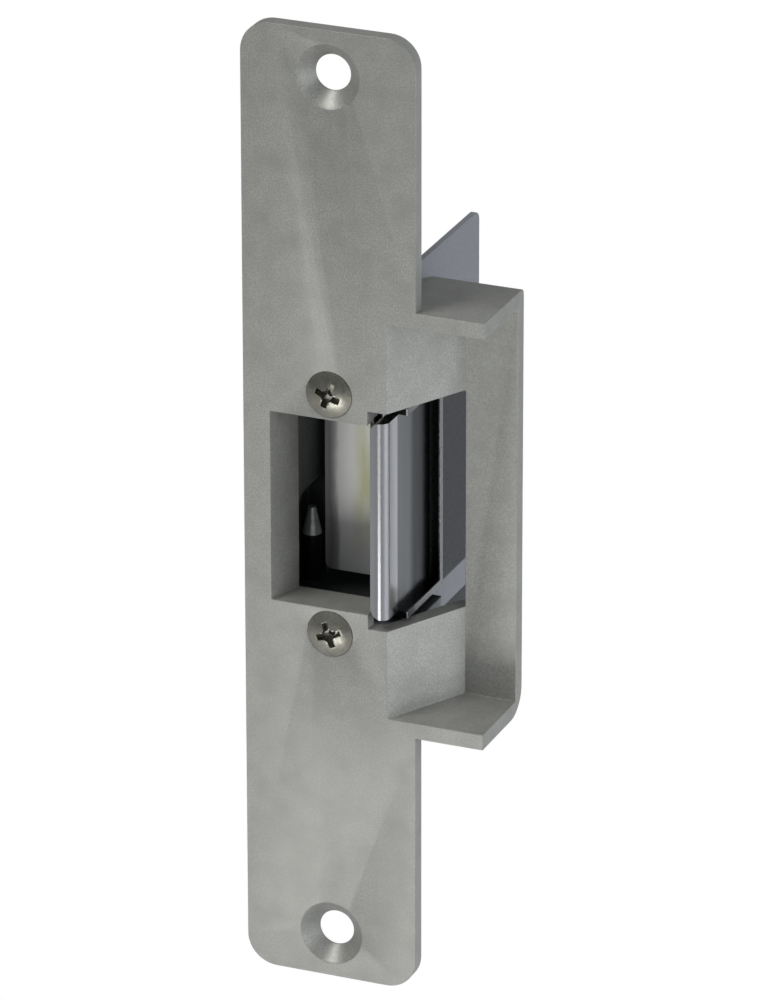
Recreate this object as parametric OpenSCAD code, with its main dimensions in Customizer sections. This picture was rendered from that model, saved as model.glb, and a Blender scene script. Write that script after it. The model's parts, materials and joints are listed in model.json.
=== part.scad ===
// Electric door strike: long faceplate with an extended lip, swinging keeper and a
// hinged-armature magnet that drives a locking lever behind the latch pocket.
// Frame: +X towards the lip, +Y into the door frame, +Z up along the faceplate.
// The origin is the middle of the faceplate's mounting face. Millimetres and degrees.

/* [Faceplate] */
// Length of the faceplate
plate_len = 160; // [150:1:180]
// Width of the faceplate
plate_w = 29; // [28:0.5:34]
// Thickness of the faceplate
plate_t = 2.6; // [2.4:0.1:3.4]
// Corner radius of the faceplate
plate_r = 5; // [1:0.5:8]
// Distance of each fixing hole from its end of the faceplate
fix_inset = 7.5; // [7:0.1:12]
// Diameter of the fixing holes
fix_d = 5.8; // [4.5:0.1:6.4]
// Diameter of the fixing countersinks
fix_sink_d = 10.6; // [9:0.1:10.8]
// Distance between the two body screws
screw_pitch = 40.5; // [40.5:0.5:44]

/* [Latch window] */
// Left edge of the latch window, from the middle
window_x = 10; // [9.4:0.1:10.2]
// Height of the latch window
window_h = 32; // [24:0.5:32]
// Depth of the pocket frame behind the mounting face
frame_depth = 4.1; // [2:0.1:5]
// Wall of the pocket frame
frame_wall = 1.6; // [1:0.1:1.6]
// Inward taper of the pocket's left side, over its whole depth
frame_taper = 2; // [0:0.1:2.4]

/* [Lip box] */
// Place of the edge where the ramp wall starts, from the middle
ramp_x = 9.65; // [9.4:0.05:10]
// Sideways run of the ramp wall
ramp_run = 7.6; // [6.5:0.1:9]
// Depth from the front face to the lip's back wall
lip_depth = 14; // [13:0.1:16]
// Reach of the lip from the middle of the faceplate
lip_reach = 25.9; // [22:0.1:34]
// Clear height inside the lip box
lip_h = 66.6; // [60:0.2:70]
// Wall of the lip box
lip_wall = 2.6; // [2:0.1:3]
// Outer radius at the lip's lower back edge
lip_foot_r = 4.5; // [3:0.1:6]
// Outer radius at the lip's upper back edge
lip_head_r = 1; // [0.5:0.1:2]

/* [Keeper] */
// Height of the keeper jaw
jaw_h = 33.2; // [26:0.2:33.2]
// Thickness of the jaw in front of its pivot
jaw_t = 2.9; // [2.4:0.05:3]
// Thickness of the jaw round its pivot
heel_t = 3.65; // [3.4:0.05:3.7]
// Radius of the rounded nose
nose_r = 1.4; // [0.8:0.1:2]
// Radius of the nose's two end corners
nose_corner_r = 1.8; // [1:0.1:4]
// Depth of the keeper's pivot behind the front face
pivot_depth = 12; // [11.8:0.1:12.2]
// Set-back of the keeper's pivot from the jaw's flank
pivot_inset = 1.75; // [1.7:0.05:1.9]
// Diameter of the keeper's pivot pin
pivot_d = 2.5; // [1.8:0.1:2.6]
// Steel thickness of the keeper bracket
bracket_t = 1.2; // [0.8:0.1:1.2]
// Reach of the bracket past the jaw's flank
bracket_reach = 1.55; // [1:0.05:1.6]
// Depth of the bracket's back behind the front face
heel_depth = 19.6; // [18.5:0.1:19.7]
// Largest swing of the keeper
keeper_swing = 80; // [60:1:80]

/* [Body] */
// Width of the body
body_w = 21.6; // [21:0.1:24]
// Depth of the body behind the mounting face
body_depth = 36.1; // [30:0.1:40]
// Thickness of the left cheek, which carries the magnet
cheek_t = 1.6; // [1.2:0.1:2]
// Thickness of the right cheek, beside the lip box
fin_t = 1; // [0.8:0.1:1.2]
// Height of the left cheek above the middle
cheek_top = 42.4; // [42:0.2:48]
// Height of the right cheek above the middle
fin_top = 38.7; // [37:0.1:44]
// Radius of the cheeks' upper back corner
cheek_r = 1.6; // [0.5:0.1:4]
// Thickness of the body's floor and ceiling
deck_t = 5; // [4.8:0.1:6]
// Thickness of the wall at the left of the chamber
side_t = 3.4; // [2.8:0.1:3.5]
// Thickness of the rear cover
cover_t = 1; // [0.8:0.1:1.5]

/* [Locking lever] */
// Thickness of the lever plate
lever_t = 1.5; // [1:0.1:1.6]
// Depth of the lever's front face behind the front face
lever_depth = 17; // [17:0.1:17.2]
// Width of the lever's blade
lever_w = 7.8; // [6:0.1:7.8]
// Swing of the lever from unlocked to locked
lever_swing = 7.4; // [6:0.1:7.5]
// Height of the lever's pivot above the ceiling
lever_pivot_rise = 2.4; // [2.3:0.1:2.8]
// Diameter of the lever's pivot pin
lever_pin_d = 2; // [1.5:0.1:2]
// Diameter of the lever's stop pin
stop_d = 3.2; // [2:0.1:3.2]

/* [Magnet] */
// Outer diameter of the winding
winding_d = 11.4; // [9:0.1:11.6]
// Diameter of the iron core
core_d = 5; // [4:0.1:5.4]
// Thickness of the yoke
yoke_t = 1.6; // [1.2:0.1:1.8]
// Thickness of the armature
armature_t = 1.6; // [1.2:0.1:2]

/* [Hidden] */
$fn = 48;

// Shared clearances
gap = 0.3;          // between bodies that move past each other
run_fit = 0.04;     // radial play of a pin that turns
cut = 1;            // overshoot of a cutting solid

// Places that several pieces share, worked out from the driving dimensions
fix_pitch = plate_len - 2 * fix_inset;
front_y = -plate_t;
function deep(d) = d - plate_t;                 // depth behind the front face, as a Y value
ramp_slope = ramp_run / lip_depth;              // sideways run for each millimetre of depth
function ramp_at(y) = ramp_x + ramp_slope * (y - front_y);
ramp_skew = lip_wall * sqrt(1 + pow(ramp_slope, 2));   // ramp wall measured along X
lip_y = deep(lip_depth);
lip_back_y = lip_y + lip_wall;
lip_end_x = ramp_x + ramp_run;
lip_half = lip_h / 2;
lip_top = lip_half + lip_wall;

window_half = window_h / 2;
jaw_half = jaw_h / 2;
ear_top = jaw_half + bracket_t;
slot_half = ear_top + 2 * gap;                  // half height of the keeper's slot
chamber_half = slot_half + 0.2;                 // half height of the chamber in the body
deck_out = chamber_half + deck_t;

flank_x = ramp_x;                               // the closed keeper's flank lines up with the ramp's edge
jaw_x = flank_x - jaw_t;                        // the jaw's latch-side face
heel_x = flank_x - heel_t;
slot_x = jaw_x - gap;                           // left edge of the keeper's slot
pivot_x = flank_x - pivot_inset;
pivot_y = deep(pivot_depth);
ear_y = front_y + 4.9;                          // front end of the bracket's ears
shoulder_y = frame_depth + gap + 0.3;           // the jaw thickens behind the pocket frame
heel_y = deep(heel_depth);
tail_y = heel_y - bracket_t;
bracket_x = flank_x + bracket_reach;

wall_end_x = ramp_x + 0.25;                     // left end of the lip box's top and bottom walls
fin_x = wall_end_x - gap;                       // outer face of the right cheek
fin_in = fin_x - fin_t;
body_left = fin_x - body_w;
cheek_in = body_left + cheek_t;
chamber_x = body_left + side_t;                 // left side of the chamber
deck_right = pivot_x + 4.1;                     // the decks reach past the keeper's pivot
deck_step_y = pivot_y + 5;
cover_y = body_depth - cover_t - 0.1;
rear_cheek_y = heel_y + 1.9;                    // the right cheek starts here beside the keeper
fin_front_y = front_y + (fin_x + gap + ramp_skew - ramp_x) / ramp_slope;

lever_y = deep(lever_depth);
stop_x = chamber_x - 1.2;
stop_y = lever_y - 0.8;
lever_left = stop_x + stop_d / 2 + gap;
lever_right = lever_left + lever_w;             // blade edge that swings in front of the keeper's tail
lever_pivot_x = lever_right + 0.6;
lever_pivot_z = deck_out + lever_pivot_rise;
lever_foot_z = -(chamber_half - 1.6);
lug_r = 2;
lug_t = 1.6;
lever_spring_room = 3;
front_lug_y = lever_y - gap - lever_spring_room - lug_t;
back_lug_y = lever_y + lever_t + gap;

coil_y = lever_y - 3.9;
bobbin_d = winding_d + 1.2;
coil_rise = 2.6;                                // clearance from the lever's pivot up to the bobbin
coil_z = lever_pivot_z + coil_rise + bobbin_d / 2;
yoke_half = bobbin_d / 2 + 0.1;
armature_half = core_d;
armature_rise = coil_rise + bobbin_d / 2 + core_d / 2 + 1.9;   // top of the armature above the lever's pivot
armature_z = [lever_pivot_z + coil_rise, lever_pivot_z + armature_rise];
pole_gap = armature_rise * tan(lever_swing);    // air gap at rest: the armature's top edge closes it
rivet_head = 0.5;
arm_end_x = fin_in - gap - rivet_head;
armature_x = arm_end_x - lever_t - armature_t;
pole_x = armature_x - pole_gap;
yoke_x = cheek_in;
coil_x0 = yoke_x + yoke_t;
coil_x1 = pole_x - 0.4;
flange_t = 1;

block_size = [10, 8, 9];
block_at = [cheek_in + 1, back_lug_y + lug_t + 1.2, deck_out];
terminal_pitch = 5.8;

// Outline drawn on X and Y, carried from z0 to z1
module along_z(z0, z1) translate([0, 0, z0]) linear_extrude(z1 - z0) children();
// Outline drawn on X and Z, carried from y0 to y1
module along_y(y0, y1) translate([0, y1, 0]) rotate([90, 0, 0]) linear_extrude(y1 - y0) children();
// Outline drawn on Y and Z, carried from x0 to x1
module along_x(x0, x1) translate([x0, 0, 0]) rotate([90, 0, 90]) linear_extrude(x1 - x0) children();
// Cylinders along the three axes
module rod_x(x0, x1, y, z, d) translate([x0, y, z]) rotate([0, 90, 0]) cylinder(h = x1 - x0, d = d);
module rod_y(y0, y1, x, z, d) translate([x, y0, z]) rotate([-90, 0, 0]) cylinder(h = y1 - y0, d = d);
module rod_z(z0, z1, x, y, d) translate([x, y, z0]) cylinder(h = z1 - z0, d = d);
module block(x, y, z) translate([x[0], y[0], z[0]]) cube([x[1] - x[0], y[1] - y[0], z[1] - z[0]]);
module both_ends() { children(); mirror([0, 0, 1]) children(); }

// Rectangle about the middle with round corners
module round_rect(w, h, r) {
    square([w - 2 * r, h], center = true);
    square([w, h - 2 * r], center = true);
    for (x = [-1, 1], z = [-1, 1]) translate([x * (w / 2 - r), z * (h / 2 - r)]) circle(r);
}

// Ninety-degree countersink whose mouth is on the front face
module countersink(x, z, mouth, hole) {
    h = (mouth - hole) / 2;
    translate([x, front_y, z]) rotate([-90, 0, 0]) cylinder(h = h, d1 = mouth, d2 = hole);
    rod_y(front_y - cut, front_y, x, z, mouth);
    rod_y(front_y, cut, x, z, hole);
}

// Cross recess that points into a screw head along its axis
module cross_recess(size, depth) {
    for (a = [0, 90]) rotate(a) translate([-size / 2, -size / 8, 0]) cube([size, size / 4, depth]);
    cylinder(h = depth * 1.3, d1 = size / 2, d2 = size / 5);
}

// Raised countersunk screw along +Y whose head sits in a countersink in the front face
module raised_screw(head, shank, length, dome) {
    cone = (head - shank) / 2;
    ball = (pow(head / 2, 2) + pow(dome, 2)) / (2 * dome);
    rotate([-90, 0, 0]) difference() {
        union() {
            cylinder(h = cone, d1 = head, d2 = shank);
            cylinder(h = length, d = shank);
            intersection() {
                translate([0, 0, ball - dome]) sphere(ball, $fn = 96);
                translate([0, 0, -dome]) cylinder(h = dome, d = head);
            }
        }
        translate([0, 0, -dome - 0.01]) cross_recess(head * 0.55, dome + 0.9);
    }
}

// Pan-head screw along +Y; the head stands in front of y = 0
module pan_screw(head, head_h, shank, length) {
    rotate([-90, 0, 0]) difference() {
        union() {
            cylinder(h = length, d = shank);
            translate([0, 0, -head_h]) cylinder(h = head_h, d1 = head * 0.86, d2 = head);
        }
        translate([0, 0, -head_h - 0.01]) cross_recess(head * 0.55, head_h * 0.6);
    }
}

// Wire carried round a helix about Z, from height z0, with a straight leg at each end
function helix_points(r, pitch, turns, steps) =
    [for (i = [0 : turns * steps]) let (a = 360 * i / steps) [r * cos(a), r * sin(a), pitch * i / steps]];
function direction(p, i) = let (a = p[max(i - 1, 0)], b = p[min(i + 1, len(p) - 1)]) (b - a) / norm(b - a);
function side_of(t) = let (s = abs(t[2]) > 0.9 ? cross(t, [1, 0, 0]) : cross(t, [0, 0, 1])) s / norm(s);
module wire(points, d, sides = 8) {
    rings = [for (i = [0 : len(points) - 1])
        let (t = direction(points, i), u = side_of(t), v = cross(t, u))
        for (k = [0 : sides - 1]) points[i] + d / 2 * (cos(360 * k / sides) * u + sin(360 * k / sides) * v)];
    last = (len(points) - 1) * sides;
    faces = concat(
        [[for (k = [0 : sides - 1]) k]],
        [[for (k = [sides - 1 : -1 : 0]) last + k]],
        [for (i = [0 : len(points) - 2], k = [0 : sides - 1], half = [0, 1])
            let (a = i * sides + k, b = i * sides + (k + 1) % sides)
            half == 0 ? [a, a + sides, b + sides] : [a, b + sides, b]]);
    polyhedron(rings, faces);
}

// ---------------------------------------------------------------- faceplate

// The open front and right side of the lip box
module recess_space()
    along_z(-lip_half, lip_half)
        polygon([[ramp_at(front_y - cut), front_y - cut], [lip_end_x, lip_y],
                 [lip_reach + cut, lip_y], [lip_reach + cut, front_y - cut]]);

module lip_walls() {
    corner_r = 3;
    inner_x = wall_end_x + corner_r;
    intersection() {
        union() {
            along_z(-lip_top, lip_top)
                polygon([[ramp_x, front_y], [lip_end_x, lip_y], [lip_reach, lip_y], [lip_reach, lip_back_y],
                         [ramp_at(lip_back_y) - ramp_skew, lip_back_y], [ramp_x - ramp_skew, front_y]]);
            both_ends() along_z(lip_half, lip_top) {
                polygon([[wall_end_x, front_y], [lip_reach, front_y], [lip_reach, lip_back_y],
                         [inner_x, lip_back_y], [inner_x, lip_back_y - corner_r],
                         [wall_end_x, lip_back_y - corner_r]]);
                translate([inner_x, lip_back_y - corner_r]) circle(corner_r);
            }
        }
        along_x(0, lip_reach + cut) {
            translate([front_y - cut, -lip_top + lip_foot_r])
                square([lip_back_y - front_y + cut, 2 * lip_top - lip_foot_r - lip_head_r]);
            translate([front_y - cut, -lip_top])
                square([lip_back_y - lip_foot_r - front_y + cut, lip_foot_r + cut]);
            translate([front_y - cut, lip_top - lip_head_r - cut])
                square([lip_back_y - lip_head_r - front_y + cut, lip_head_r + cut]);
            translate([lip_back_y - lip_foot_r, -lip_top + lip_foot_r]) circle(lip_foot_r);
            translate([lip_back_y - lip_head_r, lip_top - lip_head_r]) circle(lip_head_r);
        }
    }
}

// The latch window with its tapered left side, and the keeper's taller slot through the ramp wall
module window_space() {
    taper = frame_taper / (frame_depth + plate_t);
    along_z(-window_half, window_half)
        polygon([[-window_x - taper * cut, front_y - cut], [slot_x + cut, front_y - cut],
                 [slot_x + cut, frame_depth + cut], [-window_x + frame_taper + taper * cut, frame_depth + cut]]);
    block([slot_x, lip_end_x], [front_y - cut, lip_back_y + cut], [-slot_half, slot_half]);
}

module pocket_frame() {
    block([-window_x - frame_wall + 0.2, -window_x + frame_taper + cut], [-cut, frame_depth],
          [-window_half - frame_wall, window_half + frame_wall]);
    both_ends() block([-window_x, slot_x - gap], [-cut, frame_depth], [window_half - cut, window_half + frame_wall]);
}

module faceplate()
    color("darkgray") difference() {
        union() {
            along_y(front_y, 0) round_rect(plate_w, plate_len, plate_r);
            lip_walls();
            pocket_frame();
        }
        difference() {
            recess_space();
            block([lip_reach - 100, ramp_x - cut], [-50, 50], [-50, 50]);
        }
        window_space();
        for (s = [-1, 1]) {
            countersink(0, s * fix_pitch / 2, fix_sink_d, fix_d);
            countersink(0, s * screw_pitch / 2, body_head_d + 0.2, body_screw_d + 0.3);
        }
    }

body_screw_d = 4;
body_head_d = 7.6;
body_screw_len = 10;
module body_screws()
    color("dimgray") for (s = [-1, 1])
        translate([0, front_y, s * screw_pitch / 2]) rotate([0, 20 * s, 0])
            raised_screw(body_head_d, body_screw_d, body_screw_len, 0.9);

// ---------------------------------------------------------------- body

// Floor or ceiling outline: a rectangle with a step round the keeper's pivot, cut back along the ramp wall
module deck_outline() {
    front_x = ramp_at(0) - ramp_skew - gap;
    full_y = (deck_right - front_x) / ramp_slope;
    polygon([[body_left, 0], [front_x, 0], [deck_right, full_y], [deck_right, deck_step_y],
             [fin_x, deck_step_y], [fin_x, body_depth], [body_left, body_depth]]);
}

// Side view of a cheek: rounded at its upper back corner
module cheek_outline(top) {
    translate([0, -deck_out]) square([body_depth - cheek_r, top + deck_out]);
    translate([body_depth - cheek_r - cut, -deck_out]) square([cheek_r + cut, top - cheek_r + deck_out]);
    translate([body_depth - cheek_r, top - cheek_r]) circle(cheek_r);
}

module strike_body()
    color("gray") difference() {
        union() {
            both_ends() along_z(chamber_half, deck_out) deck_outline();
            // left wall and its cheek
            block([body_left, chamber_x], [0, body_depth], [-deck_out, deck_out]);
            along_x(body_left, cheek_in) cheek_outline(cheek_top);
            // right cheek: open beside the keeper, cut back behind the ramp wall
            difference() {
                along_x(fin_in, fin_x) cheek_outline(fin_top);
                block([0, body_w], [-cut, rear_cheek_y], [-deck_out - cut, chamber_half]);
                block([0, body_w], [-cut, fin_front_y], [0, lip_top + gap]);
                // notch round the end of the keeper's pivot pin
                block([0, body_w], [-cut, pivot_y + pivot_d + gap], [deck_out, pin_half + gap]);
            }
            // bosses for the two body screws
            both_ends() block([-4, 4], [0, boss_depth], [window_half + frame_wall + gap, chamber_half + cut]);
            // lugs that carry the lever's pivot pin
            for (y = [front_lug_y, back_lug_y])
                along_y(y, y + lug_t) {
                    translate([lever_pivot_x - lug_r, deck_out - cut]) square([2 * lug_r, lever_pivot_rise + cut]);
                    translate([lever_pivot_x, lever_pivot_z]) circle(lug_r);
                }
        }
        // rebate for the pocket frame
        block([-window_x - frame_wall - gap + 0.2, slot_x], [-cut, frame_depth + gap],
              [-window_half - frame_wall - gap, window_half + frame_wall + gap]);
        // arched recess beside the stop pin
        along_x(stop_x - stop_d / 2 - 0.1, chamber_x + cut) {
            translate([recess_y, -chamber_half]) square([recess_w, chamber_half - recess_top - recess_r]);
            translate([recess_y + recess_r, -chamber_half]) square([recess_w - 2 * recess_r, chamber_half - recess_top]);
            for (y = [recess_r, recess_w - recess_r])
                translate([recess_y + y, -recess_top - recess_r]) circle(recess_r);
        }
        // slot in the ceiling for the lever
        block([lever_left - 0.4, lever_right + 1.6], [lever_y - gap, lever_y + lever_t + gap],
              [chamber_half - cut, deck_out + cut]);
        // seat for the rear cover
        block([cheek_in, fin_in], [cover_y, body_depth + cut], [-deck_out - cut, deck_out + cut]);
        // bores
        both_ends() {
            rod_z(chamber_half - cut, deck_out + cut, pivot_x, pivot_y, pivot_d);
            rod_y(-cut, boss_depth + cut, 0, screw_pitch / 2, body_screw_d);
            for (x = cover_screw_x) rod_y(cover_y - 5, cover_y + cut, x, cover_screw_z, cover_screw_d);
        }
        rod_z(chamber_half - cut, chamber_half + spring_h + gap, pivot_x, pivot_y, spring_d + 2 * gap);
        rod_y(front_lug_y - cut, back_lug_y + lug_t + cut, lever_pivot_x, lever_pivot_z, lever_pin_d);
        rod_z(-chamber_half - stop_root, -chamber_half + cut, stop_x, stop_y, stop_d);
        for (p = yoke_screw_at) rod_x(body_left - cut, cheek_in + cut, p[0], p[1], yoke_screw_d + 0.3);
        rod_z(deck_out - 4, deck_out + cut, block_screw_at[0], block_screw_at[1], block_screw_d);
    }

boss_depth = body_screw_len - plate_t + 0.1;
recess_y = deep(8);
recess_w = 11;
recess_r = 2.5;
recess_top = 1.2;
cover_screw_d = 2.2;
cover_screw_x = [cheek_in + 2.4, fin_in - 2.4];
cover_screw_z = chamber_half + deck_t / 2;
module rear_cover()
    color("silver") difference() {
        along_y(cover_y, cover_y + cover_t) translate([(cheek_in + fin_in) / 2, 0])
            round_rect(fin_in - cheek_in - 0.2, 2 * deck_out - 0.2, 1);
        for (x = cover_screw_x, z = [-1, 1])
            rod_y(cover_y - cut, cover_y + cover_t + cut, x, z * cover_screw_z, cover_screw_d + 0.3);
    }

module cover_screws()
    color("dimgray") for (x = cover_screw_x, z = [-1, 1])
        translate([x, cover_y + cover_t, z * cover_screw_z]) mirror([0, 1, 0])
            pan_screw(4, 1.2, cover_screw_d, cover_t + 4);

// ---------------------------------------------------------------- keeper

// Plan of the jaw: a plate with a rounded nose that thickens round its pivot
module jaw_outline() {
    polygon([[jaw_x, front_y + 0.3], [flank_x - nose_r, front_y], [flank_x, front_y + nose_r],
             [flank_x, tail_y], [heel_x, tail_y], [heel_x, shoulder_y], [jaw_x, shoulder_y]]);
    translate([flank_x - nose_r, front_y + nose_r]) circle(nose_r);
}

module keeper_jaw()
    color("gainsboro") difference() {
        intersection() {
            along_z(-jaw_half, jaw_half) jaw_outline();
            union() {
                // the nose's end corners are rounded in the front view
                along_y(front_y - cut, shoulder_y) {
                    translate([jaw_x + nose_corner_r, -jaw_half]) square([heel_t, jaw_h]);
                    translate([jaw_x, -jaw_half + nose_corner_r]) square([heel_t, jaw_h - 2 * nose_corner_r]);
                    for (s = [-1, 1]) translate([jaw_x + nose_corner_r, s * (jaw_half - nose_corner_r)])
                        circle(nose_corner_r);
                }
                block([heel_x, flank_x], [shoulder_y, tail_y], [-jaw_half, jaw_half]);
            }
        }
        pivot_bore();
        rivet_holes();
    }
rivet_d = 1.6;
rivet_len = 3;
rivet_x = flank_x - heel_t / 2;
rivet_z = 10;
module rivet_pair() for (s = [-1, 1]) rod_y(tail_y - rivet_len, heel_y, rivet_x, s * rivet_z, rivet_d);
module pivot_bore() rod_z(-deck_out, deck_out, pivot_x, pivot_y, pivot_d + 2 * run_fit);
module rivet_holes() rivet_pair();

// Plan of a bracket ear, cut back in front like the jaw and chamfered at its back corner
module ear_outline()
    polygon([[jaw_x, ear_y], [bracket_x, ear_y], [bracket_x, heel_y], [heel_x + bracket_t, heel_y],
             [heel_x, tail_y], [heel_x, shoulder_y], [jaw_x, shoulder_y]]);

module keeper_bracket()
    color("silver") difference() {
        union() {
            both_ends() along_z(jaw_half, ear_top) ear_outline();
            block([heel_x + bracket_t, bracket_x], [tail_y, heel_y], [-jaw_half - 0.1, jaw_half + 0.1]);
        }
        pivot_bore();
        rivet_holes();
        rod_z(jaw_half - cut, ear_top + cut, pivot_x, pivot_y - spring_r, spring_wire + 0.1);
    }

module keeper_rivets() color("silver") rivet_pair();

clip_t = 0.6;
pin_half = deck_out + clip_t + 0.5;
// Retaining ring in the groove near a pin's end
module clip_ring(d) translate([pivot_x, pivot_y, deck_out]) difference() {
    cylinder(h = clip_t, d = d);
    translate([0, 0, -cut]) cylinder(h = clip_t + 2 * cut, d = pivot_d - 0.6);
}

module keeper_pivot_pin()
    color("silver") difference() {
        rod_z(-pin_half, pin_half, pivot_x, pivot_y, pivot_d);
        both_ends() clip_ring(pivot_d + cut);
    }

// Each clip is open at one side
module pivot_clips()
    color("dimgray") both_ends() difference() {
        clip_ring(pivot_d + 2.4);
        translate([pivot_x, pivot_y, deck_out - cut]) rotate(45) translate([0, -0.9, 0]) cube([4, 1.8, 4]);
    }

spring_wire = 0.7;
spring_pitch = 0.8;
spring_turns = 3;
spring_h = spring_turns * spring_pitch + spring_wire;
spring_r = pivot_d / 2 + 0.35 + spring_wire / 2;
spring_d = 2 * spring_r + spring_wire;
// Torsion spring round the pivot pin, with one leg down through the upper ear
module keeper_spring() {
    turns = helix_points(spring_r, spring_pitch, spring_turns, 14);
    leg = [[spring_r, 0, jaw_half + 0.05 - spring_z], [spring_r, 0, -0.5]];
    color("silver") translate([pivot_x, pivot_y, spring_z]) rotate(-90) wire(concat(leg, turns), spring_wire, 6);
}
spring_z = ear_top + 0.35 + spring_wire / 2;

// ---------------------------------------------------------------- locking lever

arm_h = 3;
arm_z = deck_out + gap;
// Front view of the lever: blade, pivot eye, and an arm that passes under the coil and turns up
module lever_outline() {
    foot_r = 1.2;
    difference() {
        union() {
            translate([lever_left, lever_foot_z + foot_r]) square([lever_w, arm_z + arm_h - lever_foot_z - foot_r]);
            translate([lever_left + foot_r, lever_foot_z]) square([lever_w - foot_r, foot_r + cut]);
            translate([lever_left + foot_r, lever_foot_z + foot_r]) circle(foot_r);
            translate([lever_pivot_x, lever_pivot_z]) circle(lug_r);
            translate([lever_right - cut, arm_z]) square([arm_end_x - lever_right + cut, arm_h]);
            translate([arm_end_x - lever_t, arm_z]) square([lever_t, armature_z[1] - arm_z]);
        }
        translate([lever_pivot_x, lever_pivot_z]) circle(d = lever_pin_d + 2 * run_fit);
    }
}

// A tab bent forward from the arm carries the armature
module locking_lever()
    color("lightgray") difference() {
        union() {
            along_y(lever_y, lever_y + lever_t) lever_outline();
            block([arm_end_x - lever_t, arm_end_x], [coil_y - armature_half, lever_y + lever_t], armature_z);
        }
        armature_rivet_shanks();
    }

module armature()
    color("dimgray") difference() {
        block([armature_x, armature_x + armature_t], [coil_y - armature_half, lever_y - 0.1], armature_z);
        armature_rivet_shanks();
    }

armature_rivet_y = [for (s = [-1, 1]) coil_y + s * (armature_half - 2.2)];
module armature_rivet_shanks() for (y = armature_rivet_y) rod_x(armature_x + 0.3, arm_end_x, y, coil_z, rivet_d);

module armature_rivets()
    color("silver") {
        armature_rivet_shanks();
        for (y = armature_rivet_y) rod_x(arm_end_x, arm_end_x + rivet_head, y, coil_z, rivet_d + 1.2);
    }

lever_clip_t = 0.4;
module lever_pivot_pin()
    color("silver") {
        rod_y(front_lug_y, back_lug_y + lug_t + lever_clip_t + 0.1, lever_pivot_x, lever_pivot_z, lever_pin_d);
        rod_y(front_lug_y - 0.6, front_lug_y, lever_pivot_x, lever_pivot_z, lever_pin_d + 1);
    }

module lever_clip()
    color("dimgray") along_y(back_lug_y + lug_t, back_lug_y + lug_t + lever_clip_t)
        translate([lever_pivot_x, lever_pivot_z]) difference() {
            circle(d = lever_pin_d + 1.8);
            circle(d = lever_pin_d);
        }

// Torsion spring round the lever's pin: one leg crosses the arm's top, the other points at the ceiling
module lever_spring() {
    wire_d = 0.5;
    r = lever_pin_d / 2 + 0.15 + wire_d / 2;
    leg_x = 2.6;
    leg_z = arm_z + arm_h - lever_pivot_z + wire_d / 2 + 0.02;
    coil = [for (q = helix_points(r, 0.6, 3.25, 12)) [-q[1], q[0], q[2]]];
    over_arm = [[leg_x + 0.6, leg_z, -1.6], [leg_x + 0.6, leg_z, -0.3], [leg_x, leg_z, 0]];
    down = [for (z = [-1, -1.75]) [-r, z, coil[len(coil) - 1][2] + 0.1]];
    color("silver") translate([lever_pivot_x, lever_y - 0.2 - wire_d / 2, lever_pivot_z]) rotate([90, 0, 0])
        wire(concat(over_arm, coil, down), wire_d, 6);
}

stop_root = 3;
stop_tip_z = -0.4 * window_half;
stop_cone_h = 1.375 * stop_d;
module lever_stop_pin()
    color("silver") {
        rod_z(-chamber_half - stop_root, stop_tip_z - stop_cone_h, stop_x, stop_y, stop_d);
        translate([stop_x, stop_y, stop_tip_z - stop_cone_h])
            cylinder(h = stop_cone_h, d1 = stop_d, d2 = stop_d * 0.4);
    }

// ---------------------------------------------------------------- magnet

yoke_screw_d = 2.5;
yoke_screw_at = [for (s = [-1, 1]) [coil_y + s * (yoke_half - 2.4), coil_z + s * (yoke_half - 1.8)]];
leg_z = coil_z - bobbin_d / 2 - 0.2 - yoke_t;
module magnet_yoke()
    color("slategray") difference() {
        union() {
            block([yoke_x, yoke_x + yoke_t], [coil_y - yoke_half, coil_y + yoke_half], [leg_z, coil_z + yoke_half]);
            block([yoke_x, pole_x], [coil_y - yoke_half, front_lug_y - 0.9], [leg_z, leg_z + yoke_t]);
        }
        rod_x(yoke_x - cut, yoke_x + yoke_t + cut, coil_y, coil_z, core_d);
        for (p = yoke_screw_at) rod_x(yoke_x - cut, yoke_x + yoke_t + cut, p[0], p[1], yoke_screw_d);
    }

module yoke_screws()
    color("silver") for (p = yoke_screw_at)
        translate([body_left, p[0], p[1]]) rotate([0, 0, -90]) pan_screw(4.4, 1.3, yoke_screw_d, cheek_t + yoke_t);

module magnet_core() color("slategray") rod_x(yoke_x, pole_x, coil_y, coil_z, core_d);

module coil_bobbin()
    color("ivory") difference() {
        union() {
            rod_x(coil_x0, coil_x1, coil_y, coil_z, core_d + 1.4);
            for (x = [coil_x0, coil_x1 - flange_t]) rod_x(x, x + flange_t, coil_y, coil_z, bobbin_d);
        }
        rod_x(coil_x0 - cut, coil_x1 + cut, coil_y, coil_z, core_d + 0.1);
    }

module coil_winding()
    color("firebrick") difference() {
        rod_x(coil_x0 + flange_t, coil_x1 - flange_t, coil_y, coil_z, winding_d);
        rod_x(coil_x0, coil_x1, coil_y, coil_z, core_d + 1.4);
    }

lead_d = 0.9;
// Each lead leaves the back of the winding and drops into its terminal
function lead_points(x) =
    let (y0 = coil_y + winding_d / 2 + 0.02, z0 = coil_z + 1, y1 = block_at[1] + 2.2, z1 = block_at[2] + block_size[2])
    [for (i = [0 : 10]) let (t = i / 10, a = 90 * t)
        [x, y0 + (y1 - y0) * sin(a), z1 - 1 + (z0 - z1 + 1) * cos(a)]];
module coil_leads() color("firebrick") for (k = [0, 1]) wire(lead_points(terminal_x(k)), lead_d);

// ---------------------------------------------------------------- terminals

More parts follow.
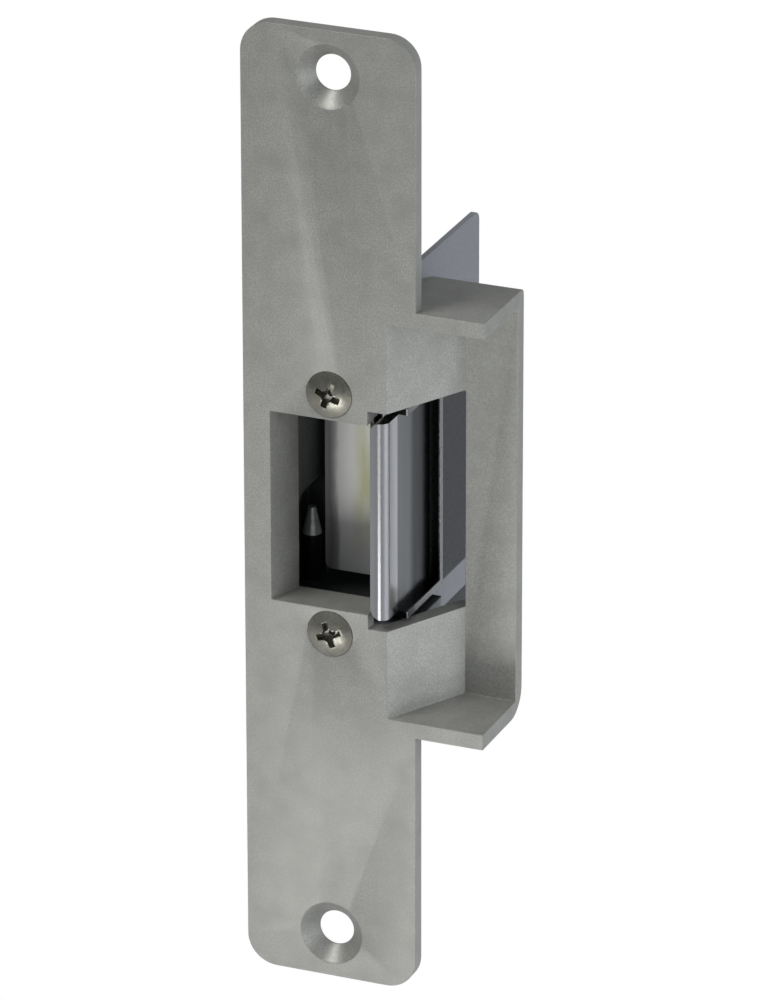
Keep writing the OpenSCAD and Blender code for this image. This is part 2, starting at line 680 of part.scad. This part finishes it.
function terminal_x(k) = block_at[0] + block_size[0] / 2 + (k - 0.5) * terminal_pitch;
block_screw_d = 2;
block_screw_at = [block_at[0] + block_size[0] / 2, block_at[1] + block_size[1] / 2];
module terminal_block()
    color("green") difference() {
        translate(block_at) cube(block_size);
        for (k = [0, 1]) {
            x = terminal_x(k);
            y_end = block_at[1] + block_size[1];
            // wire entries from above: the coil's lead in front, the supply's behind
            rod_z(block_at[2] + 3, block_at[2] + block_size[2] + cut, x, block_at[1] + 2.2, lead_d + 0.9);
            rod_z(block_at[2] + 3, block_at[2] + block_size[2] + cut, x, block_at[1] + 5.2, 2.4);
            // screw well from behind
            rod_y(block_at[1] + 3.6, y_end + cut, x, block_at[2] + 5, 3.6);
        }
        rod_z(block_at[2] - cut, block_at[2] + block_size[2] + cut, block_screw_at[0], block_screw_at[1], block_screw_d);
    }

module terminal_clamps()
    color("goldenrod") for (k = [0, 1])
        difference() {
            rod_y(block_at[1] + 3.6, block_at[1] + 5, terminal_x(k), block_at[2] + 5, 2.4);
            rod_y(block_at[1], block_at[1] + 10, terminal_x(k), block_at[2] + 5, 1.6);
        }

module terminal_screws()
    color("silver") for (k = [0, 1])
        translate([terminal_x(k), block_at[1] + 6.6, block_at[2] + 5]) mirror([0, 1, 0])
            pan_screw(3, 0.9, 1.6, 3);

module terminal_block_screw()
    color("silver") translate([block_screw_at[0], block_screw_at[1], block_at[2] + block_size[2]]) rotate([-90, 0, 0])
        pan_screw(3.6, 1, block_screw_d, block_size[2] + 3.5);

faceplate();
body_screws();
strike_body();
rear_cover();
cover_screws();
keeper_jaw();
keeper_bracket();
keeper_rivets();
keeper_pivot_pin();
pivot_clips();
keeper_spring();
locking_lever();
lever_pivot_pin();
lever_clip();
lever_spring();
lever_stop_pin();
armature();
armature_rivets();
magnet_yoke();
yoke_screws();
magnet_core();
coil_bobbin();
coil_winding();
coil_leads();
terminal_block();
terminal_screws();
terminal_clamps();
terminal_block_screw();
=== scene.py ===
"""Looks of an electric door strike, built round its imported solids.

Lengths are in metres in the solids' own frame: +X towards the lip, +Y into the door frame
and +Z up along the faceplate. The front of the faceplate lies at Y = -2.6 mm.
"""

import json
import math

import bmesh
import bpy
import numpy as np
from mathutils import Matrix, Vector


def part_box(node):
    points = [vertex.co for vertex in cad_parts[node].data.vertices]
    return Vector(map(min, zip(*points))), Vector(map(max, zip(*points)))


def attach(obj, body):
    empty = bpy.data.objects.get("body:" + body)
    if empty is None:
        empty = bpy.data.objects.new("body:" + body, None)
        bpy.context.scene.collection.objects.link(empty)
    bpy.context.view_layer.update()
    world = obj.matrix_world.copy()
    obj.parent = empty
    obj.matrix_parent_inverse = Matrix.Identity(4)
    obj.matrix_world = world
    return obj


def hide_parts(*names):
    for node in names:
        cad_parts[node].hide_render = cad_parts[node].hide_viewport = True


MM = 0.001
SHARP_ANGLE = math.radians(32.0)   # edges that turn by more stay sharp or are rounded
FLAT_ANGLE = math.radians(0.5)     # faces that turn by less are joined up

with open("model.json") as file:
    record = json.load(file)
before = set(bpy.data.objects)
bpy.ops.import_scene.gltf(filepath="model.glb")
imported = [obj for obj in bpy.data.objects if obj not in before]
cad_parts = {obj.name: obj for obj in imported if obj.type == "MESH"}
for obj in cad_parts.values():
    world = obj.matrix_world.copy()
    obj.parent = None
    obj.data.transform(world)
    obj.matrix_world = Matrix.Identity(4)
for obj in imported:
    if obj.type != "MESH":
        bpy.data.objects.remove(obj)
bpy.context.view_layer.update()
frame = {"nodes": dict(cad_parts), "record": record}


# ---------------------------------------------------------------- camera and light

def front_y():
    """The faceplate's front face is the lowest Y of its solid."""
    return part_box("faceplate")[0][1]


def add_camera():
    """A long lens seen from the right and above, aimed past the middle of the front face."""
    azimuth, elevation, roll = math.radians(22.95), math.radians(23.03), math.radians(-0.27)
    back = Vector((
        math.sin(azimuth) * math.cos(elevation),
        -math.cos(azimuth) * math.cos(elevation),
        math.sin(elevation),
    ))
    right = Vector((math.cos(azimuth), math.sin(azimuth), 0.0))
    up = back.cross(right)
    turned_right = right * math.cos(roll) + up * math.sin(roll)
    turned_up = back.cross(turned_right)
    distance = 1.2
    data = bpy.data.cameras.new("camera")
    data.sensor_width = 36.0
    data.lens = 277.0
    data.shift_x = 0.0562
    data.shift_y = 0.0152
    data.clip_start = 0.05
    data.clip_end = 20.0
    camera = bpy.data.objects.new("camera", data)
    bpy.context.scene.collection.objects.link(camera)
    place = Matrix((turned_right, turned_up, back)).transposed().to_4x4()
    place.translation = Vector((0.0, front_y(), 0.0)) + back * distance
    camera.matrix_world = place
    bpy.context.scene.camera = camera


def add_area(name, spot, target, size, power, color=(1.0, 1.0, 1.0)):
    """A square soft box at spot that points at target."""
    data = bpy.data.lights.new(name, "AREA")
    data.shape = "SQUARE"
    data.size = size
    data.energy = power
    data.color = color
    lamp = bpy.data.objects.new(name, data)
    bpy.context.scene.collection.objects.link(lamp)
    aim = Vector(target) - Vector(spot)
    lamp.matrix_world = Matrix.Translation(spot) @ aim.to_track_quat("-Z", "Y").to_matrix().to_4x4()


def split_by_ray(tree, lit, seen, surface):
    """Rays from the camera meet the shader seen, and all other rays meet lit."""
    mix = tree.nodes.new("ShaderNodeMixShader")
    path = tree.nodes.new("ShaderNodeLightPath")
    tree.links.new(path.outputs["Is Camera Ray"], mix.inputs["Fac"])
    tree.links.new(lit, mix.inputs[1])
    tree.links.new(seen, mix.inputs[2])
    tree.links.new(mix.outputs["Shader"], surface)


def add_world():
    """Even, slightly cool studio light, which the camera itself sees as white."""
    world = bpy.data.worlds.new("studio")
    bpy.context.scene.world = world
    world.use_nodes = True
    nodes = world.node_tree.nodes
    nodes.clear()
    out = nodes.new("ShaderNodeOutputWorld")
    seen = nodes.new("ShaderNodeBackground")
    seen.inputs["Color"].default_value = (1.0, 1.0, 1.0, 1.0)
    seen.inputs["Strength"].default_value = 1.0
    light = nodes.new("ShaderNodeBackground")
    light.inputs["Color"].default_value = (0.93, 0.96, 1.0, 1.0)
    light.inputs["Strength"].default_value = 0.30
    split_by_ray(world.node_tree, light.outputs["Background"], seen.outputs["Background"],
                 out.inputs["Surface"])


def add_floor():
    """A pale floor well below the object, which the camera itself sees as plain white."""
    half, low = 3.0, -0.30
    mesh = bpy.data.meshes.new("floor")
    corners = [(-half, -half, low), (half, -half, low), (half, half, low), (-half, half, low)]
    mesh.from_pydata(corners, [], [(0, 1, 2, 3)])
    floor = bpy.data.objects.new("floor", mesh)
    bpy.context.scene.collection.objects.link(floor)
    material = bpy.data.materials.new("floor_paper")
    material.use_nodes = True
    nodes = material.node_tree.nodes
    nodes.clear()
    out = nodes.new("ShaderNodeOutputMaterial")
    paper = nodes.new("ShaderNodeBsdfDiffuse")
    paper.inputs["Color"].default_value = (0.85, 0.85, 0.85, 1.0)
    glow = nodes.new("ShaderNodeEmission")
    glow.inputs["Color"].default_value = (1.0, 1.0, 1.0, 1.0)
    glow.inputs["Strength"].default_value = 1.0
    split_by_ray(material.node_tree, paper.outputs["BSDF"], glow.outputs["Emission"],
                 out.inputs["Surface"])
    mesh.materials.append(material)


# ---------------------------------------------------------------- materials

class Finish:
    """A Principled material with short calls for the nodes that drive it."""

    def __init__(self, name, color, metallic, roughness):
        self.material = bpy.data.materials.new(name)
        self.material.use_nodes = True
        self.nodes = self.material.node_tree.nodes
        self.links = self.material.node_tree.links
        self.shader = self.nodes["Principled BSDF"]
        self.shader.inputs["Base Color"].default_value = (*color, 1.0)
        self.shader.inputs["Metallic"].default_value = metallic
        self.shader.inputs["Roughness"].default_value = roughness
        self.place = self.nodes.new("ShaderNodeTexCoord").outputs["Object"]

    def stretched(self, scale):
        """Object coordinates with each axis multiplied by its own factor."""
        node = self.nodes.new("ShaderNodeMapping")
        node.inputs["Scale"].default_value = scale
        self.links.new(self.place, node.inputs["Vector"])
        return node.outputs["Vector"]

    def noise(self, scale, detail, vector=None):
        node = self.nodes.new("ShaderNodeTexNoise")
        node.inputs["Scale"].default_value = scale
        node.inputs["Detail"].default_value = detail
        self.links.new(vector or self.place, node.inputs["Vector"])
        return node.outputs["Fac"]

    def axis(self, letter):
        node = self.nodes.new("ShaderNodeSeparateXYZ")
        self.links.new(self.place, node.inputs["Vector"])
        return node.outputs[letter]

    def spread(self, value, low, high, start=0.0, end=1.0):
        """value from low to high, mapped to start to end and clamped."""
        node = self.nodes.new("ShaderNodeMapRange")
        node.inputs["From Min"].default_value = low
        node.inputs["From Max"].default_value = high
        node.inputs["To Min"].default_value = start
        node.inputs["To Max"].default_value = end
        self.links.new(value, node.inputs["Value"])
        return node.outputs["Result"]

    def combine(self, operation, a, b):
        node = self.nodes.new("ShaderNodeMath")
        node.operation = operation
        self.links.new(a, node.inputs[0])
        self.links.new(b, node.inputs[1])
        return node.outputs["Value"]

    def times(self, a, b):
        return self.combine("MULTIPLY", a, b)

    def add(self, a, b):
        return self.combine("ADD", a, b)

    def ramp(self, value, stops):
        """Colours along value: stops is [(position, (r, g, b)), ...] from 0 to 1."""
        node = self.nodes.new("ShaderNodeValToRGB")
        band = node.color_ramp
        while len(band.elements) < len(stops):
            band.elements.new(0.5)
        for element, (position, color) in zip(band.elements, stops):
            element.position = position
            element.color = (*color, 1.0)
        self.links.new(value, node.inputs["Fac"])
        return node.outputs["Color"]

    def blend(self, amount, a, b):
        """Colour a, with b over it by amount. a and b are sockets or (r, g, b)."""
        node = self.nodes.new("ShaderNodeMix")
        node.data_type = "RGBA"
        self.links.new(amount, node.inputs["Factor"])
        for socket, color in ((node.inputs[6], a), (node.inputs[7], b)):
            if isinstance(color, tuple):
                socket.default_value = (*color, 1.0)
            else:
                self.links.new(color, socket)
        return node.outputs[2]

    def paint(self, color):
        self.links.new(color, self.shader.inputs["Base Color"])
        return self

    def rough(self, value):
        self.links.new(value, self.shader.inputs["Roughness"])
        return self

    def bump(self, height, strength, distance):
        node = self.nodes.new("ShaderNodeBump")
        node.inputs["Strength"].default_value = strength
        node.inputs["Distance"].default_value = distance
        self.links.new(height, node.inputs["Height"])
        self.links.new(node.outputs["Normal"], self.shader.inputs["Normal"])
        return self


def metallic_paint(name, base, fleck, metallic=0.35):
    """Sprayed paint with fine flakes: two noises mottle its colour, and the finer one its height."""
    finish = Finish(name, base, metallic, 0.42)
    grain = finish.noise(3800.0, 2.0)
    cloud = finish.noise(260.0, 4.0)
    color = finish.blend(finish.spread(grain, 0.35, 0.70), base, fleck)
    shade = tuple(0.86 * c for c in base)
    color = finish.blend(finish.spread(cloud, 0.40, 0.75, 0.0, 0.5), color, shade)
    finish.paint(color)
    finish.rough(finish.spread(grain, 0.3, 0.7, 0.34, 0.5))
    finish.bump(grain, 0.25, 0.06 * MM)
    return finish.material


def casting():
    """Grey casting paint with painted shade: very dark at the heights of the keeper's chamber, inside
    and outside.
    """
    base = (0.24, 0.25, 0.27)
    painted_shade_black = (0.045, 0.048, 0.05)
    finish = Finish("cast_grey", base, 0.5, 0.45)
    grain = finish.noise(3800.0, 2.0)
    paint = finish.blend(finish.spread(grain, 0.35, 0.70), base, (0.32, 0.33, 0.35))
    # Painted shade: deeper than Y = 2 mm, the paint turns very dark between heights of -19 and +19 mm,
    # where the keeper's chamber lies in shade.
    half = 19.0 * MM
    edge = 0.3 * MM
    z = finish.axis("Z")
    above_foot = finish.spread(z, -half, -half + edge)
    below_top = finish.spread(z, half - edge, half, 1.0, 0.0)
    deep = finish.spread(finish.axis("Y"), 0.0, 2 * MM)
    chamber = finish.times(finish.times(above_foot, below_top), deep)
    finish.paint(finish.blend(chamber, paint, painted_shade_black))
    finish.rough(finish.spread(grain, 0.3, 0.7, 0.36, 0.52))
    finish.bump(grain, 0.25, 0.06 * MM)
    return finish.material


def plain_metal(name, color, roughness, grain=1500.0, contrast=0.18):
    """Bright or plated metal with a light grain and patches of differing gloss."""
    finish = Finish(name, color, 1.0, roughness)
    fine = finish.noise(grain, 3.0)
    patch = finish.noise(220.0, 3.0)
    dark = tuple(c * (1.0 - contrast) for c in color)
    finish.paint(finish.blend(finish.spread(patch, 0.35, 0.65), color, dark))
    finish.rough(finish.spread(fine, 0.3, 0.7, roughness * 0.8, roughness * 1.3))
    finish.bump(fine, 0.12, 0.04 * MM)
    return finish.material


def moulded(name, color, roughness=0.5):
    """Moulded plastic: one colour with a slight mottle and a fine texture."""
    finish = Finish(name, color, 0.0, roughness)
    fine = finish.noise(2600.0, 2.0)
    cloud = finish.noise(180.0, 2.0)
    shade = tuple(0.85 * c for c in color)
    finish.paint(finish.blend(finish.spread(cloud, 0.3, 0.7, 0.0, 0.6), color, shade))
    finish.bump(fine, 0.15, 0.05 * MM)
    return finish.material


def chrome_painted_reflections():
    """Polished plating with painted reflections and shade: light and dark broad bands from the nose back
    along the flank.
    """
    finish = Finish("chrome_painted_reflections", (0.8, 0.8, 0.82), 1.0, 0.12)
    reflection_band_depth = 20 * MM
    depth = finish.spread(finish.axis("Y"), front_y(), front_y() + reflection_band_depth)
    # Painted reflections and shade by depth: darker over the first 1 mm, a bright reflected band from
    # about 1.5 to 4.3 mm, then very dark towards the back, and a painted highlight from 18 mm deep on.
    finish.paint(finish.ramp(depth, [
        (0.000, (0.34, 0.34, 0.35)),
        (0.050, (0.40, 0.40, 0.41)),
        (0.075, (0.85, 0.85, 0.87)),
        (0.215, (0.85, 0.85, 0.87)),
        (0.235, (0.30, 0.31, 0.32)),
        (0.470, (0.24, 0.25, 0.26)),
        (0.560, (0.07, 0.075, 0.08)),
        (0.885, (0.04, 0.04, 0.045)),
        (0.900, (0.70, 0.70, 0.70)),
        (1.000, (0.80, 0.80, 0.80)),
    ]))
    smear = finish.noise(400.0, 2.0, finish.stretched((1.0, 1.0, 0.1)))
    finish.rough(finish.spread(smear, 0.3, 0.7, 0.16, 0.26))
    return finish.material


def bracket_steel():
    """Steel with painted shade, very dark all over but for a bright rim along its outermost edge."""
    finish = Finish("bracket_steel", (0.5, 0.5, 0.5), 1.0, 0.3)
    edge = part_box("keeper_bracket")[1][0]
    rim = finish.spread(finish.axis("X"), edge - 0.30 * MM, edge - 0.15 * MM)
    grain = finish.noise(1500.0, 3.0)
    bright = finish.blend(finish.spread(grain, 0.3, 0.7), (0.30, 0.31, 0.31), (0.42, 0.43, 0.43))
    # Painted shade: everything but the outermost 0.3 mm is made very dark; the rim keeps the grainy grey
    # of the steel.
    finish.paint(finish.blend(rim, (0.012, 0.012, 0.013), bright))
    finish.rough(finish.spread(grain, 0.3, 0.7, 0.24, 0.38))
    finish.bump(grain, 0.12, 0.04 * MM)
    return finish.material


def lever_zinc():
    """Zinc plating with a dark strip of painted shade along its left edge, and a yellowish stain on the
    upper right side.
    """
    finish = Finish("lever_zinc", (0.62, 0.62, 0.58), 0.15, 0.4)
    x = finish.axis("X")
    streak = finish.noise(260.0, 4.0, finish.stretched((1.0, 1.0, 0.25)))
    wobble = finish.spread(streak, 0.3, 0.7, -0.6 * MM, 0.6 * MM)
    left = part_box("locking_lever")[0][0]
    across = finish.spread(finish.add(x, wobble), left, left + 8 * MM)
    # Painted shade: the first stops darken the left side and about 2.7 mm across it; from there on the
    # ramp is the plating's own light grey.
    color = finish.ramp(across, [
        (0.00, (0.34, 0.34, 0.32)),
        (0.12, (0.24, 0.24, 0.23)),
        (0.24, (0.40, 0.40, 0.38)),
        (0.34, (0.86, 0.86, 0.82)),
        (1.00, (0.92, 0.92, 0.88)),
    ])
    band = finish.spread(finish.add(x, wobble), left + 4.6 * MM, left + 6.6 * MM)
    reach = finish.spread(finish.axis("Z"), -15 * MM, -3 * MM)
    stain = finish.times(finish.times(band, reach), finish.spread(streak, 0.35, 0.6, 0.2, 0.9))
    finish.paint(finish.blend(stain, color, (0.62, 0.62, 0.34)))
    finish.rough(finish.spread(streak, 0.3, 0.7, 0.32, 0.5))
    finish.bump(streak, 0.1, 0.1 * MM)
    return finish.material


def stop_pin_steel():
    """Blackened shank with a bare conical tip."""
    finish = Finish("stop_pin_steel", (0.05, 0.05, 0.05), 0.7, 0.4)
    z = finish.axis("Z")
    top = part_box("lever_stop_pin")[1][2]
    tip = finish.spread(z, top - 4.45 * MM, top - 4.35 * MM)
    grain = finish.noise(900.0, 3.0)
    bare = finish.blend(finish.spread(grain, 0.3, 0.7), (0.42, 0.46, 0.43), (0.62, 0.66, 0.62))
    finish.paint(finish.blend(tip, (0.012, 0.012, 0.012), bare))
    return finish.material


def make_materials():
    """Every material under the name of its slot in the record, and the special ones after them."""
    return {
        "satin_silver_paint": metallic_paint(
            "satin_silver_paint", (0.27, 0.27, 0.245), (0.38, 0.38, 0.35)),
        "cast_grey": casting(),
        "zinc_plate": plain_metal("zinc_plate", (0.62, 0.62, 0.60), 0.32),
        "dark_nickel": plain_metal("dark_nickel", (0.34, 0.33, 0.28), 0.30, 1800.0, 0.35),
        "chrome": chrome_painted_reflections(),
        "bright_steel": plain_metal("bright_steel", (0.66, 0.66, 0.67), 0.24),
        "spring_steel": plain_metal("spring_steel", (0.35, 0.35, 0.37), 0.30),
        "dark_steel": stop_pin_steel(),
        "soft_iron": plain_metal("soft_iron", (0.50, 0.51, 0.53), 0.36),
        "bobbin_plastic": moulded("bobbin_plastic", (0.78, 0.75, 0.66)),
        "enamelled_wire": plain_metal("enamelled_wire", (0.60, 0.24, 0.10), 0.28),
        "wire_insulation": moulded("wire_insulation", (0.55, 0.05, 0.04), 0.4),
        "terminal_plastic": moulded("terminal_plastic", (0.08, 0.30, 0.16), 0.45),
        "terminal_brass": plain_metal("terminal_brass", (0.78, 0.58, 0.26), 0.3),
        "lever_zinc": lever_zinc(),
        "bracket_steel": bracket_steel(),
        # Painted shade: very dark flaked paint, the same colour as the chamber's painted shade, for the
        # cheek skirt deep in the slot.
        "cast_painted_shade": metallic_paint("cast_painted_shade", (0.045, 0.048, 0.05), (0.06, 0.06, 0.065), 0.5),
    }


# ---------------------------------------------------------------- pieces

def soften(node, radius, material):
    """Stand a copy of a solid in its place, with flat faces joined up and every sharp edge rounded."""
    weld_distance = 0.002 * MM
    mesh = frame["nodes"][node].data.copy()
    mesh.name = node + "_edges"
    work = bmesh.new()
    work.from_mesh(mesh)
    bmesh.ops.remove_doubles(work, verts=work.verts, dist=weld_distance)
    bmesh.ops.dissolve_limit(work, angle_limit=FLAT_ANGLE, verts=work.verts, edges=work.edges)
    work.to_mesh(mesh)
    work.free()
    piece = bpy.data.objects.new(node + "_edges", mesh)
    bpy.context.scene.collection.objects.link(piece)
    mesh.materials.clear()
    mesh.materials.append(material)
    mesh.shade_smooth()
    mesh.set_sharp_from_angle(angle=SHARP_ANGLE)
    bevel = piece.modifiers.new("edges", "BEVEL")
    bevel.width = radius
    bevel.segments = 2
    bevel.limit_method = "ANGLE"
    bevel.angle_limit = SHARP_ANGLE
    bevel.use_clamp_overlap = True
    bevel.harden_normals = True
    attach(piece, body_name(node))
    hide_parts(node)


def add_swept_plate(name, x_range, y_range, z_range, radius, node, material):
    """A plate on node's body, whose rounded X-Z outline is carried along Y.

    Outline point at angle t of each corner: corner centre + radius * (cos t, sin t), t in steps
    of 15 degrees through the corner's own quarter turn.
    """
    (x0, x1), (z0, z1) = x_range, z_range
    centres = np.array([(x1 - radius, z1 - radius), (x0 + radius, z1 - radius),
                        (x0 + radius, z0 + radius), (x1 - radius, z0 + radius)])
    steps = np.radians(np.arange(0, 91, 15))
    turns = np.radians(90.0) * np.arange(4)[:, None] + steps[None, :]
    outline = centres[:, None, :] + radius * np.stack([np.cos(turns), np.sin(turns)], axis=-1)
    outline = outline.reshape(-1, 2)
    count = len(outline)
    points = np.empty((2, count, 3))
    points[:, :, 0] = outline[:, 0]
    points[:, :, 1] = np.array(y_range)[:, None]
    points[:, :, 2] = outline[:, 1]
    near = np.arange(count)
    after = np.roll(near, -1)
    sides = np.stack([near, after, after + count, near + count], axis=1).tolist()
    caps = [near.tolist(), (near[::-1] + count).tolist()]
    mesh = bpy.data.meshes.new(name)
    mesh.from_pydata(points.reshape(-1, 3).tolist(), [], sides + caps)
    mesh.materials.append(material)
    piece = bpy.data.objects.new(name, mesh)
    bpy.context.scene.collection.objects.link(piece)
    mesh.shade_smooth()
    mesh.set_sharp_from_angle(angle=SHARP_ANGLE)
    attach(piece, body_name(node))


def lengthen_cheek(material):
    """Carry the body's right cheek down past its solid, which stops short of the slot's lower corner, in
    very dark paint that stands for shade deep in the slot.
    """
    thickness_range = (8.6 * MM, 9.6 * MM)
    depth_range = (18.9 * MM, 36.1 * MM)
    height_range = (-28.0 * MM, -23.4 * MM)
    add_swept_plate("cheek_skirt", thickness_range, depth_range, height_range, 0.2 * MM,
                    "strike_body", material)


def body_name(node):
    """The body that the record gives node to."""
    bodies = frame["record"]["behaviour"]["bodies"]
    return next(name for name, members in bodies.items() if node in members)


def slot_name(node):
    """The material slot that the record gives node."""
    return next(p["material_slot"] for p in frame["record"]["subparts"] if p["node"] == node)


def dress_nodes(materials, special):
    """Every solid gets the material of its record slot, or its own."""
    for node, solid in frame["nodes"].items():
        solid.data.materials.clear()
        solid.data.materials.append(special.get(node) or materials[slot_name(node)])


def main():
    bpy.context.scene.view_settings.view_transform = "Standard"
    materials = make_materials()
    dress_nodes(materials, {
        "locking_lever": materials["lever_zinc"],
        "keeper_bracket": materials["bracket_steel"],
    })
    edge_radii = (
        ("faceplate", 0.32 * MM, "satin_silver_paint"),
        ("strike_body", 0.2 * MM, "cast_grey"),
        ("keeper_jaw", 0.15 * MM, "chrome"),
        ("keeper_bracket", 0.15 * MM, "bracket_steel"),
        ("locking_lever", 0.2 * MM, "lever_zinc"),
        ("body_screws", 0.1 * MM, "dark_nickel"),
    )
    for node, radius, finish in edge_radii:
        soften(node, radius, materials[finish])
    lengthen_cheek(materials["cast_painted_shade"])
    add_camera()
    add_world()
    add_floor()
    add_area("key", (-0.42, -0.46, 1.0), (0, 0, 0), 0.45, 6.5)
    add_area("fill", (1.0, -0.12, 0.15), (0, 0, 0), 0.8, 7.0, (0.90, 0.93, 1.0))
    add_area("low", (-0.05, -0.36, -0.30), (0, 0, -0.06), 0.25, 0.85)


main()
